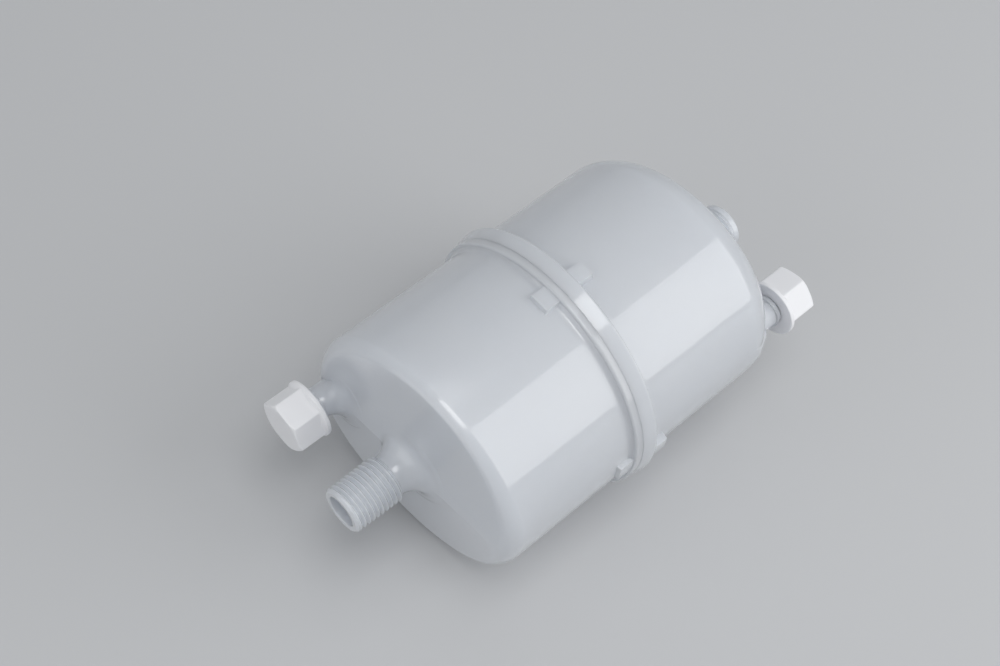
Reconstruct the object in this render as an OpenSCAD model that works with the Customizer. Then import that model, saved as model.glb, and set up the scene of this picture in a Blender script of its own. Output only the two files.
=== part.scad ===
// Capsule filter: two welded shells round a pleated cartridge, with a threaded port and a capped vent at
// each end. It lies on its collar, inlet towards -X, with the floor at Z = 0.

/* [Shells] */
// Outer diameter of the housing wall
body_d = 72; // [68:1:84]
// Thickness of the housing wall
wall = 2.6; // [2:0.1:3.4]
// Thickness of the end walls, measured on the axis
end_wall = 5.4; // [4.8:0.1:7]
// Length of the inlet shell, from the weld plane to its end
inlet_len = 47.1; // [42:0.1:60]
// Length of the outlet shell, from the weld plane to its end
outlet_len = 51.7; // [46:0.1:64]
// Shoulder radius of the inlet shell
inlet_shoulder = 7; // [6:0.5:10]
// Shoulder radius of the outlet shell
outlet_shoulder = 10; // [6:0.5:11]
// Slope of each end up towards its vent, in degrees
end_slope = 4.1; // [2:0.1:6]
// Fall of each end to both sides of its ridge, in degrees
ridge_fall = 4.5; // [2.5:0.1:5]

/* [Collar] */
// Height of the inlet shell's collar ring above the wall
inlet_ring_h = 1.9; // [1:0.1:2.5]
// Width of the inlet shell's collar ring
inlet_ring_w = 2.2; // [1.6:0.1:5]
// Height of the outlet shell's collar ring above the wall
outlet_ring_h = 2.9; // [2.6:0.1:4]
// Width of the outlet shell's collar ring
outlet_ring_w = 4.5; // [4:0.1:7]
// Fall of the outlet shell's collar ring from its edge to the weld plane
outlet_ring_fall = 0.8; // [0.4:0.1:0.9]
// Length of the weld tongue inside the outlet shell
tongue_len = 3; // [2:0.1:3.6]
// Thickness of the weld tongue
tongue_wall = 1.6; // [1:0.1:1.8]
// Number of tab pairs round the collar
tabs = 4; // [2:1:8]
// Width of a collar tab
tab_w = 5; // [3:0.5:8]
// Length of the inlet shell's tabs along the housing
inlet_tab_len = 4; // [2:0.5:6]
// Length of the outlet shell's tabs along the housing
outlet_tab_len = 5; // [2:0.5:6]
// Height of the outlet shell's tabs above the wall
outlet_tab_h = 2.2; // [1.5:0.1:2.5]

/* [Ports] */
// Outer diameter of the pipe thread
thread_d = 13.7; // [13:0.1:15]
// Length of the pipe thread
thread_len = 15; // [12:0.5:18]
// Chamfer at both ends of the pipe thread
thread_chamfer = 0.9; // [0.5:0.1:1.2]
// Diameter of the neck behind the thread
neck_d = 11.4; // [10.6:0.1:12.4]
// Length of the neck behind the inlet's thread
inlet_neck_len = 5.9; // [4:0.1:10]
// Length of the neck behind the outlet's thread
outlet_neck_len = 3.4; // [3:0.1:10]
// Bore of the port
port_bore_d = 9; // [6:0.1:9.2]
// Radius of the flare at the foot of the port
port_flare = 7.5; // [5:0.5:9]

/* [Vents] */
// Distance of the vents' axes in from the housing wall
vent_inset = 8.5; // [8:0.1:10]
// Height of the cap's seat above the end of the shell
vent_stand = 8.1; // [6:0.1:12]
// Diameter of the vent's neck
vent_neck_d = 8.2; // [7.6:0.1:8.8]
// Diameter of the seat ring under the cap
vent_seat_d = 9.6; // [9:0.1:10.4]
// Thickness of the seat ring
vent_seat_h = 1.3; // [0.8:0.1:2]
// Diameter of the threaded nipple inside the cap
nipple_d = 7.6; // [6.4:0.1:7.8]
// Length of the threaded nipple
nipple_len = 6.8; // [5:0.1:6.9]
// Bore of the vent
vent_bore_d = 3.2; // [2:0.1:4]
// Radius of the flare at the foot of the vent
vent_flare = 7.5; // [5:0.5:8]

/* [Vent caps] */
// Width of the cap across its flats
cap_flats = 14; // [13:0.1:15]
// Length of the cap
cap_len = 9.7; // [9.4:0.1:12]
// Diameter of the cap's flange
cap_flange_d = 16.6; // [16.2:0.1:18]
// Thickness of the cap's flange at its edge
cap_flange_h = 1.1; // [0.8:0.1:2]
// Thickness of the vent seal
seal_h = 1; // [0.8:0.1:1.2]
// Turn of the inlet cap's hexagon, in degrees
inlet_cap_turn = 21; // [0:1:60]
// Turn of the outlet cap's hexagon, in degrees
outlet_cap_turn = 13; // [0:1:60]

/* [Cartridge] */
// Outer diameter of the cage round the pleats
cage_d = 59; // [52:0.5:59.5]
// Wall of the cage
cage_wall = 1.5; // [1:0.1:2]
// Length of a slot in the cage
cage_slot_len = 9; // [6:0.5:14]
// Width of a slot in the cage
cage_slot_w = 8; // [4:0.5:10]
// Slots in one row round the cage, counted in opposite pairs
cage_slot_pairs = 6; // [3:1:7]
// Outer diameter of the core inside the pleats
core_d = 28; // [26:0.5:32]
// Wall of the core
core_wall = 2; // [1.5:0.1:3]
// Length of a slot in the core
core_slot_len = 6; // [4:0.5:10]
// Width of a slot in the core
core_slot_w = 3; // [2:0.5:4]
// Slots in one row round the core, counted in opposite pairs
core_slot_pairs = 4; // [2:1:5]
// Number of pleats
pleats = 40; // [24:1:44]
// Thickness of one layer of the pleat pack
layer_t = 0.3; // [0.2:0.05:0.32]
// Thickness of the cartridge's end caps
cartridge_cap_h = 3.5; // [2.5:0.1:5]
// Lip of the cartridge's end caps over the cage
cartridge_lip = 4; // [2:0.5:6]
// Outer diameter of the outlet spigot
spigot_d = 16; // [14:0.1:18]
// Length of the outlet spigot
spigot_len = 8; // [7:0.1:11]
// Bore of the outlet spigot
spigot_bore_d = 10; // [8:0.1:11]

/* [Hidden] */
$fn = 96;
// Play between pieces that are assembled into each other
assembly_gap = 0.05;
// Wall of the lip on the cartridge's end caps
lip_wall = 1.2;
// Least gap between the cartridge and the housing wall
cartridge_gap = 0.6;
cage_r = cage_d / 2;
core_r = core_d / 2;
cartridge_r = cage_r + assembly_gap + lip_wall;
// The housing has its own diameter, and is wider where the cartridge needs it
body_r = max(body_d / 2, cartridge_r + cartridge_gap + wall);
inner_r = body_r - wall;
inlet_ring_r = body_r + inlet_ring_h;
outlet_ring_r = body_r + outlet_ring_h;
vent_offset = body_r - vent_inset;
// Play between the cap and the nipple, seat and seal that it turns on
cap_gap = 0.25;
// Reach of each sloping shoulder past the wall that it is cut from
shoulder_reach = 0.05;
// Rise of the shoulder's top over the ridge, which the ridge's two planes trim off
trim = 0.3;
// Depth to which feet and flares are sunk into the wall that they stand on
sink = 1.2;
// Length by which a cutter stands out of what it cuts
cut = 1;
// Step from the inlet shell's ring down to its tabs
tab_step = 0.1;
// Chamfer at the tip of a vent nipple
nipple_chamfer = 0.6;
// Reach of the vent's flare past the vent's axis at its foot, on the side of the shell's edge
flare_reach = 5.7;
// Width that the end chamfer of a cap leaves round its flats
cap_end_edge = 0.15;
// Depth to which the cap's conical flange runs in under the flats
flange_run = 0.4;
// Air inside each pleat, on both sides of its middle
pleat_air = 0.05;
// Play between the blind end of the cartridge and the inlet shell
blind_play = 0.64;
// Wall of the socket round the outlet spigot, its depth in the end wall, and the spigot's length outside it
socket_wall = 2.4;
socket_sink = 0.8;
spigot_bare = 2.5;

inlet_inner = inlet_len - end_wall;
outlet_inner = outlet_len - end_wall;
inlet_port_len = inlet_neck_len + thread_len;
outlet_port_len = outlet_neck_len + thread_len;
nipple_r = nipple_d / 2;
vent_neck_r = vent_neck_d / 2;
cap_bore_r = nipple_r + cap_gap;
cap_bore_len = nipple_len + seal_h - cap_gap;
cap_corner_r = cap_flats / 2 / cos(30);
cap_flange_r = cap_flange_d / 2;
cap_end_r = cap_flats / 2 + cap_end_edge;

// Height of the inlet shell's inner corner over the edge of the cartridge
inner_corner = inlet_shoulder - wall;
corner_run = max(0, cartridge_r - inner_r + inner_corner);
corner_rise = inner_corner - sqrt(inner_corner * inner_corner - corner_run * corner_run);
// Faces of the cartridge's end caps that the pleats stand on, measured along the housing from the weld plane
blind_face = -(inlet_inner - cartridge_r * tan(end_slope) - blind_play - corner_rise - cartridge_cap_h);
socket_floor = outlet_inner + socket_sink;
open_face = socket_floor - spigot_len - cartridge_cap_h;
pack_len = open_face - blind_face;
socket_r = spigot_d / 2 + assembly_gap;
socket_len = spigot_len - spigot_bare;

// Place of the weld plane, so that the frame's origin is on the floor under the middle of the part
weld_x = (inlet_len + inlet_port_len - outlet_len - outlet_port_len) / 2;
axis_z = outlet_ring_r;

shell_color = [0.86, 0.88, 0.92];
cap_color = [0.95, 0.95, 0.96];
media_color = [0.97, 0.96, 0.92];
frame_color = [0.80, 0.83, 0.87];
seal_color = [0.20, 0.20, 0.22];

// Placing: each shell is drawn along +Z from its weld plane, with its vent at -Y

module outlet_side() {
    translate([weld_x, 0, axis_z]) rotate([0, 90, 0]) children();
}

module inlet_side() {
    translate([weld_x, 0, axis_z]) rotate([0, 0, 180]) rotate([0, 90, 0]) children();
}

module at_vent(len) {
    translate([0, -vent_offset, len + vent_stand]) children();
}

// Shared forms

module tube(r_out, r_in, h) {
    difference() {
        cylinder(r = r_out, h = h);
        translate([0, 0, -cut]) cylinder(r = r_in, h = h + 2 * cut);
    }
}

// Mould of an end: open below z = 0, closed above it by a rolled shoulder and a flat top
module end_mould(r, corner, top) {
    rotate_extrude() {
        translate([0, -3 * r]) square([2 * r, 3 * r]);
        square([r - corner, top]);
        translate([0, top - corner]) intersection() {
            translate([r - corner, 0]) circle(r = corner);
            square([r, corner]);
        }
        translate([0, -r]) square([r, r + top - corner]);
    }
}

// Two planes that fall to both sides of a ridge along Y
module ridge_block(r, top) {
    half = 3 * r;
    drop = half * tan(ridge_fall);
    rotate([90, 0, 0]) linear_extrude(height = 2 * half, center = true)
        polygon([[-half, -half], [half, -half], [half, top - drop], [0, top], [-half, top - drop]]);
}

// Bowl of one shell as a full body, from z = -below: straight wall, and a rounded end that slopes up to the vent
module bowl(r, below, len, corner, ridged) {
    mould_r = r + (r - corner) * (1 - cos(end_slope)) + shoulder_reach;
    intersection() {
        translate([0, 0, -below]) cylinder(r = r, h = below + len + corner);
        translate([0, 0, len - corner]) rotate([-end_slope, 0, 0]) {
            if (ridged) {
                intersection() {
                    end_mould(mould_r, corner, corner + trim);
                    ridge_block(r, corner);
                }
            } else {
                end_mould(mould_r, corner, corner);
            }
        }
    }
}

// Trumpet-shaped foot round a neck, z = 0 at its base
module flare(neck_r, radius) {
    rotate_extrude() difference() {
        square([neck_r + radius, radius]);
        translate([neck_r + radius, radius]) circle(r = radius);
    }
}

module chamfered_bar(r, h, chamfer) {
    cylinder(r1 = r - chamfer, r2 = r, h = chamfer);
    translate([0, 0, chamfer]) cylinder(r = r, h = h - 2 * chamfer);
    translate([0, 0, h - chamfer]) cylinder(r1 = r, r2 = r - chamfer, h = chamfer);
}

module port(len, neck_len) {
    translate([0, 0, len - sink]) {
        cylinder(d = neck_d, h = sink + neck_len + thread_chamfer);
        flare(neck_d / 2, port_flare);
    }
    translate([0, 0, len + neck_len]) chamfered_bar(thread_d / 2, thread_len, thread_chamfer);
}

// Vent nipple: neck, seat ring and threaded stub, with a flare that runs out towards the shell's edge
module vent(len) {
    foot = vent_stand - vent_offset * tan(end_slope) + sink;
    at_vent(len) {
        translate([0, 0, -foot]) cylinder(r = vent_neck_r, h = foot - vent_seat_h / 2);
        translate([0, 0, -vent_seat_h]) cylinder(d = vent_seat_d, h = vent_seat_h);
        translate([0, 0, -vent_seat_h / 2])
            cylinder(r = nipple_r, h = vent_seat_h / 2 + nipple_len - nipple_chamfer);
        translate([0, 0, nipple_len - nipple_chamfer])
            cylinder(r1 = nipple_r, r2 = nipple_r - nipple_chamfer, h = nipple_chamfer);
    }
    intersection() {
        at_vent(len) translate([0, 0, -foot]) flare(vent_neck_r, vent_flare);
        translate([0, 0, len - sink]) cylinder(
            r1 = vent_offset + flare_reach, r2 = vent_offset + flare_reach - vent_stand - sink,
            h = vent_stand + sink
        );
    }
}

// Ring of tabs that stand on the wall, from z = 0
module collar_tabs(h, tab_len) {
    r_in = body_r - wall / 2;
    spread = 2 * asin(tab_w / 2 / (body_r + h));
    for (i = [0 : tabs - 1])
        rotate([0, 0, i * 360 / tabs - spread / 2])
            rotate_extrude(angle = spread) translate([r_in, 0]) square([body_r + h - r_in, tab_len]);
}

module shell_outside(len, shoulder, neck_len) {
    bowl(body_r, 0, len, shoulder, true);
    port(len, neck_len);
    vent(len);
}

module shell_passages(len, port_len) {
    inner_len = len - end_wall;
    translate([0, 0, inner_len - 2 * sink]) cylinder(d = port_bore_d, h = end_wall + port_len + 4 * sink);
    at_vent(len) translate([0, 0, -vent_stand - end_wall - sink])
        cylinder(d = vent_bore_d, h = vent_stand + end_wall + nipple_len + 2 * sink);
}

module shell_cavity(below, len, shoulder) {
    bowl(inner_r, below, len - end_wall, shoulder - wall, false);
}

// Screw cap: hexagon with a chamfered end, round flange at z = 0, blind bore
module vent_cap() {
    difference() {
        union() {
            intersection() {
                cylinder(r = cap_corner_r, h = cap_len, $fn = 6);
                union() {
                    cylinder(r = cap_flange_d, h = cap_len / 2);
                    translate([0, 0, cap_len / 2])
                        cylinder(r1 = cap_end_r + cap_len / 2 / tan(30), r2 = cap_end_r, h = cap_len / 2);
                }
            }
            cylinder(r = cap_flange_r, h = cap_flange_h);
            translate([0, 0, cap_flange_h])
                cylinder(r1 = cap_flange_r, r2 = cap_flats / 2 - flange_run, h = cap_flange_h);
        }
        translate([0, 0, -cut]) cylinder(r = cap_bore_r, h = cap_bore_len + cut);
    }
}

module vent_seal() {
    translate([0, 0, nipple_len]) cylinder(r = cap_bore_r - assembly_gap, h = seal_h);
}

// One face of the pleat pack: 0 is the outside of the upstream layer, 3 the inside of the downstream layer
function pleat_face(face) =
    let (
        crest = cage_r - cage_wall - assembly_gap - face * layer_t,
        valley = core_r + assembly_gap + (3 - face) * layer_t,
        half = (3 - face) * layer_t + pleat_air,
        step = 360 / pleats
    )
    [
        for (i = [0 : pleats - 1])
        for (corner = [[valley, -1], [crest, -1], [crest, 1], [valley, 1]])
        let (a = i * step + corner[1] * asin(half / corner[0]))
        corner[0] * [cos(a), sin(a)]
    ];

module pleated_layer(face) {
    linear_extrude(height = pack_len) difference() {
        polygon(pleat_face(face));
        polygon(pleat_face(face + 1));
    }
}

// Tube with rows of slots cut straight through both its sides
module slotted_tube(r_out, thick, len, slot_len, slot_w, pairs) {
    rib = slot_len / 3;
    rows = floor((len - rib) / (slot_len + rib));
    first = (len - rows * (slot_len + rib) + rib) / 2;
    difference() {
        tube(r_out, r_out - thick, len);
        for (row = [0 : rows - 1], i = [0 : pairs - 1])
            rotate([0, 0, i * 180 / pairs])
                translate([-r_out - cut, -slot_w / 2, first + row * (slot_len + rib)])
                    cube([2 * (r_out + cut), slot_w, slot_len]);
    }
}

// Disc with a lip over the cage, pleats standing on z = 0 and the lip upwards
module cartridge_cap() {
    translate([0, 0, -cartridge_cap_h]) cylinder(r = cartridge_r, h = cartridge_cap_h);
    tube(cartridge_r, cage_r + assembly_gap, cartridge_lip);
}

// Sub-parts

module inlet_shell() {
    color(shell_color) inlet_side() difference() {
        union() {
            shell_outside(inlet_len, inlet_shoulder, inlet_neck_len);
            cylinder(r = inlet_ring_r, h = inlet_ring_w);
            translate([0, 0, inlet_ring_w]) collar_tabs(inlet_ring_h - tab_step, inlet_tab_len);
            translate([0, 0, -tongue_len]) cylinder(r = inner_r + tongue_wall, h = tongue_len + sink);
        }
        shell_cavity(tongue_len + cut, inlet_len, inlet_shoulder);
        shell_passages(inlet_len, inlet_port_len);
    }
}

module outlet_shell() {
    color(shell_color) outlet_side() difference() {
        union() {
            difference() {
                union() {
                    shell_outside(outlet_len, outlet_shoulder, outlet_neck_len);
                    cylinder(r1 = outlet_ring_r - outlet_ring_fall, r2 = outlet_ring_r, h = outlet_ring_w);
                    translate([0, 0, outlet_ring_w]) collar_tabs(outlet_tab_h, outlet_tab_len);
                }
                shell_cavity(cut, outlet_len, outlet_shoulder);
            }
            translate([0, 0, outlet_inner - socket_len])
                cylinder(r = socket_r + socket_wall, h = socket_len + 2 * sink);
        }
        shell_passages(outlet_len, outlet_port_len);
        translate([0, 0, outlet_inner - socket_len - cut])
            cylinder(r = socket_r, h = socket_floor - outlet_inner + socket_len + cut);
        translate([0, 0, -cut])
            cylinder(r = inner_r + tongue_wall + assembly_gap, h = cut + tongue_len + assembly_gap);
    }
}

module inlet_vent_cap() {
    color(cap_color) inlet_side() at_vent(inlet_len)
        translate([0, 0, cap_gap]) rotate([0, 0, inlet_cap_turn]) vent_cap();
}

module outlet_vent_cap() {
    color(cap_color) outlet_side() at_vent(outlet_len)
        translate([0, 0, cap_gap]) rotate([0, 0, outlet_cap_turn]) vent_cap();
}

module inlet_vent_seal() {
    color(seal_color) inlet_side() at_vent(inlet_len) vent_seal();
}

module outlet_vent_seal() {
    color(seal_color) outlet_side() at_vent(outlet_len) vent_seal();
}

module outer_cage() {
    color(frame_color) outlet_side() translate([0, 0, blind_face])
        slotted_tube(cage_r, cage_wall, pack_len, cage_slot_len, cage_slot_w, cage_slot_pairs);
}

module upstream_support() {
    color(media_color) outlet_side() translate([0, 0, blind_face]) pleated_layer(0);
}

module membrane() {
    color(media_color) outlet_side() translate([0, 0, blind_face]) pleated_layer(1);
}

module downstream_support() {
    color(media_color) outlet_side() translate([0, 0, blind_face]) pleated_layer(2);
}

module inner_core() {
    color(frame_color) outlet_side() translate([0, 0, blind_face])
        slotted_tube(core_r, core_wall, pack_len, core_slot_len, core_slot_w, core_slot_pairs);
}

module blind_end_cap() {
    color(frame_color) outlet_side() translate([0, 0, blind_face]) cartridge_cap();
}

module open_end_cap() {
    color(frame_color) outlet_side() translate([0, 0, open_face]) mirror([0, 0, 1]) difference() {
        union() {
            cartridge_cap();
            translate([0, 0, -cartridge_cap_h - spigot_len]) cylinder(d = spigot_d, h = spigot_len);
        }
        translate([0, 0, -cartridge_cap_h - spigot_len - cut])
            cylinder(d = spigot_bore_d, h = cartridge_cap_h + spigot_len + 2 * cut);
    }
}

inlet_shell();
outlet_shell();
inlet_vent_cap();
outlet_vent_cap();
inlet_vent_seal();
outlet_vent_seal();
outer_cage();
upstream_support();
membrane();
downstream_support();
inner_core();
blind_end_cap();
open_end_cap();
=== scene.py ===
"""Looks of the capsule filter: threaded shells, screw caps, finishes, studio and camera."""

import logging
import math
from dataclasses import dataclass
from enum import Enum

import bmesh
import bpy
import numpy as np
from mathutils import Matrix, Vector


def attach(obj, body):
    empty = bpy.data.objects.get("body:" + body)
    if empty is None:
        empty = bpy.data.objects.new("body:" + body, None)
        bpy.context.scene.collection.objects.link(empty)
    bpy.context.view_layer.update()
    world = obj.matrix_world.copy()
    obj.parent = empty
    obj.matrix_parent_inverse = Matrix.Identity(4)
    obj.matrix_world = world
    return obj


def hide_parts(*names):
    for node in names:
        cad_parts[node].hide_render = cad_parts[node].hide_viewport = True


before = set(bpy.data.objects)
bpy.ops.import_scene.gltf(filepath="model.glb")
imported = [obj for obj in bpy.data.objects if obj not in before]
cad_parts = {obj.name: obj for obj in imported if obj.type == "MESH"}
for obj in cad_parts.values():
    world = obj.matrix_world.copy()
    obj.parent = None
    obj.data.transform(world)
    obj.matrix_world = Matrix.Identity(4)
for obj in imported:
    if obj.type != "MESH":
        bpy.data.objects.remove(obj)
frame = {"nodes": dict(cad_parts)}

LOG = logging.getLogger("capsule_filter")
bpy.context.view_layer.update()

Array = np.ndarray
Triple = tuple[float, float, float]

MM = 0.001
SLIVER = 0.0002 * MM
SMOOTH_ANGLE = math.radians(32)
ROUND_STEPS = 4

# Housing in millimetres: its weld plane and axis in the part's frame, its lengths, radii and walls
WELD_X = -1.05
AXIS_Z = 38.9
INLET_LENGTH = 47.1
OUTLET_LENGTH = 51.7
BODY_R = 36.0
INNER_R = 33.4
WALL = 2.6
END_WALL = 5.4
TAB_ARC_R = BODY_R + 1

# Sloping end, which falls to both sides of a ridge
END_SLOPE = math.radians(4.1)
TILT_SLACK = 0.05
RIDGE_FALL = math.tan(math.radians(4.5))
RIDGE_START = 9.6
RIDGE_DEPTH = 2.0
RIDGE_TOLERANCE = 0.01

# Flared feet of the port and the vent, sunk a little into the end
FLARE_R = 7.5
FLARE_EDGE_R = 2.0
FLARE_TURN = (-0.55, 0.65)
FLARE_DROP = 2.0
LEAST_FAR = 0.01
SINK = 1.2
PORT_FOOT_R = 13.6
PORT_BLEND = 0.8
VENT_BLEND = 0.5
VENT_OFFSET = 27.5
VENT_STAND = 8.1
VENT_NECK_R = 4.1
VENT_HOLD_R = 6.0
VENT_EDGE_R = 32.0


class Side(Enum):
    """The two ends of the housing, by the way that their local Z axis points along the frame's X axis."""

    INLET = -1
    OUTLET = 1

    def place(self, points: Array) -> Array:
        """Turns points of a shell's own frame into the part's frame.

        Args:
            points: Points in millimetres, Z outwards from the weld plane and the vent at -Y.

        Returns:
            The same points in metres, in the part's frame.
        """
        x, y, z = points[..., 0], points[..., 1], points[..., 2]
        sign = self.value
        return np.stack([WELD_X + sign * z, sign * y, AXIS_Z - x], axis=-1) * MM


class Join(Enum):
    """Ways to combine a piece with a second solid."""

    ADD = "UNION"
    CUT = "DIFFERENCE"


def soft_min(a: Array, b: Array, blend: float) -> Array:
    """Smaller of two heights, with the corner between them rounded.

    Args:
        a: First height.
        b: Second height.
        blend: Width of the rounded corner.

    Returns:
        The blended height.
    """
    h = np.clip(0.5 + 0.5 * (b - a) / blend, 0.0, 1.0)
    return b * (1 - h) + a * h - blend * h * (1 - h)


def soft_max(a: Array, b: Array, blend: float) -> Array:
    """Larger of two heights, with the corner between them rounded; see soft_min."""
    return -soft_min(-a, -b, blend)


def smooth_step(low: float, high: float, value: Array) -> Array:
    """Smooth rise from 0 at low to 1 at high.

    Args:
        low: Start of the rise.
        high: End of the rise.
        value: Where it is read.

    Returns:
        The share, from 0 to 1.
    """
    t = np.clip((value - low) / (high - low), 0.0, 1.0)
    return t * t * (3 - 2 * t)


def drawn_to(points: Array, radius: float, both_ways: bool = False) -> Array:
    """Copy of points, drawn in to a radius about the axis.

    Args:
        points: The points.
        radius: The radius.
        both_ways: True if points inside the radius move out to it as well.

    Returns:
        The moved points.
    """
    share = radius / np.hypot(points[:, 0], points[:, 1])
    if not both_ways:
        share = np.minimum(1, share)
    moved = points.copy()
    moved[:, :2] *= share[:, None]
    return moved


def corner_centre(radius: float, corner: float) -> float:
    """Radius of the middle of a rolled corner, a little wider so that its tilted ring reaches the wall.

    Args:
        radius: Radius of the wall.
        corner: Radius of the corner.

    Returns:
        The radius about the tilted axis.
    """
    flat = radius - corner
    return flat + flat * (1 - math.cos(END_SLOPE)) + TILT_SLACK


def rounded_path(corners: list[Triple]) -> list[tuple[float, float]]:
    """Profile through corners, each rounded to its own radius.

    Args:
        corners: Radius from the axis, height and corner radius of each point.

    Returns:
        The points of the profile.
    """
    path: list[tuple[float, float]] = [corners[0][:2]]
    for before, here, after in zip(corners, corners[1:], corners[2:]):
        point = np.array(here[:2])
        if here[2] <= 0:
            path.append((here[0], here[1]))
            continue
        back = np.array(before[:2]) - point
        ahead = np.array(after[:2]) - point
        back /= np.linalg.norm(back)
        ahead /= np.linalg.norm(ahead)
        half = math.acos(float(np.clip(back @ ahead, -1, 1))) / 2
        bisector = (back + ahead) / np.linalg.norm(back + ahead)
        centre = point + bisector * here[2] / math.sin(half)
        start = point + back * here[2] / math.tan(half) - centre
        end = point + ahead * here[2] / math.tan(half) - centre
        for k in range(ROUND_STEPS + 1):
            arm = start * (1 - k / ROUND_STEPS) + end * (k / ROUND_STEPS)
            arm *= here[2] / np.linalg.norm(arm)
            path.append(tuple(centre + arm))
    path.append(corners[-1][:2])
    return path


def turned_mesh(name: str, rows: list[Array], closed: bool) -> bpy.types.Mesh:
    """Mesh of rings of points, one after another along a profile.

    Args:
        name: Name of the mesh.
        rows: Rings of equal length, in metres.
        closed: True if the last ring joins the first one; otherwise both ends close on a point.

    Returns:
        The mesh, with its faces outwards where the profile runs up the outside.
    """
    count, around = len(rows), len(rows[0])
    points = np.concatenate(rows)
    index = np.arange(count * around).reshape(count, around)
    following = np.roll(index, -1, axis=1)
    lower, upper = index[:-1], index[1:]
    lower_next, upper_next = following[:-1], following[1:]
    faces = np.stack([lower, lower_next, upper_next, upper], axis=-1).reshape(-1, 4).tolist()
    if closed:
        faces += np.stack([index[-1], following[-1], following[0], index[0]], axis=-1).tolist()
    else:
        first, last = len(points), len(points) + 1
        points = np.concatenate([points, [rows[0].mean(axis=0), rows[-1].mean(axis=0)]])
        faces += [[first, int(b), int(a)] for a, b in zip(index[0], following[0])]
        faces += [[int(a), int(b), last] for a, b in zip(index[-1], following[-1])]
    mesh = bpy.data.meshes.new(name)
    mesh.from_pydata(points.tolist(), [], faces)
    mesh.update()
    return mesh


def add_piece(name: str, mesh: bpy.types.Mesh) -> bpy.types.Object:
    """Object of a mesh, linked to the scene.

    Args:
        name: Name of the piece.
        mesh: Its mesh.

    Returns:
        The new object.
    """
    piece = bpy.data.objects.new(name, mesh)
    bpy.context.scene.collection.objects.link(piece)
    return piece


def combine(piece: bpy.types.Object, tool: bpy.types.Object, way: Join) -> None:
    """Joins a tool to a piece, or cuts it out of the piece, and removes the tool.

    Args:
        piece: The piece that changes.
        tool: The solid that is joined or cut away.
        way: Which of the two is done.
    """
    modifier = piece.modifiers.new("combine", "BOOLEAN")
    modifier.operation = way.value
    modifier.solver = "MANIFOLD"
    modifier.object = tool
    depsgraph = bpy.context.evaluated_depsgraph_get()
    made = bpy.data.meshes.new_from_object(piece.evaluated_get(depsgraph))
    old = piece.data
    piece.modifiers.clear()
    piece.data = made
    made.name = old.name
    bpy.data.meshes.remove(old)
    bpy.data.objects.remove(tool)


def merge_slivers(piece: bpy.types.Object) -> None:
    """Merges points that lie on one another, so that no face is flat to nothing.

    Args:
        piece: The piece that is cleaned.
    """
    work = bmesh.new()
    work.from_mesh(piece.data)
    bmesh.ops.dissolve_degenerate(work, dist=SLIVER, edges=work.edges[:])
    work.to_mesh(piece.data)
    work.free()


def smooth_shade(piece: bpy.types.Object) -> None:
    """Smooth shading, with the sharper edges kept crisp.

    Args:
        piece: The piece that is shaded.
    """
    mesh = piece.data
    mesh.polygons.foreach_set("use_smooth", [True] * len(mesh.polygons))
    mesh.set_sharp_from_angle(angle=SMOOTH_ANGLE)
    mesh.update()


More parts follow.
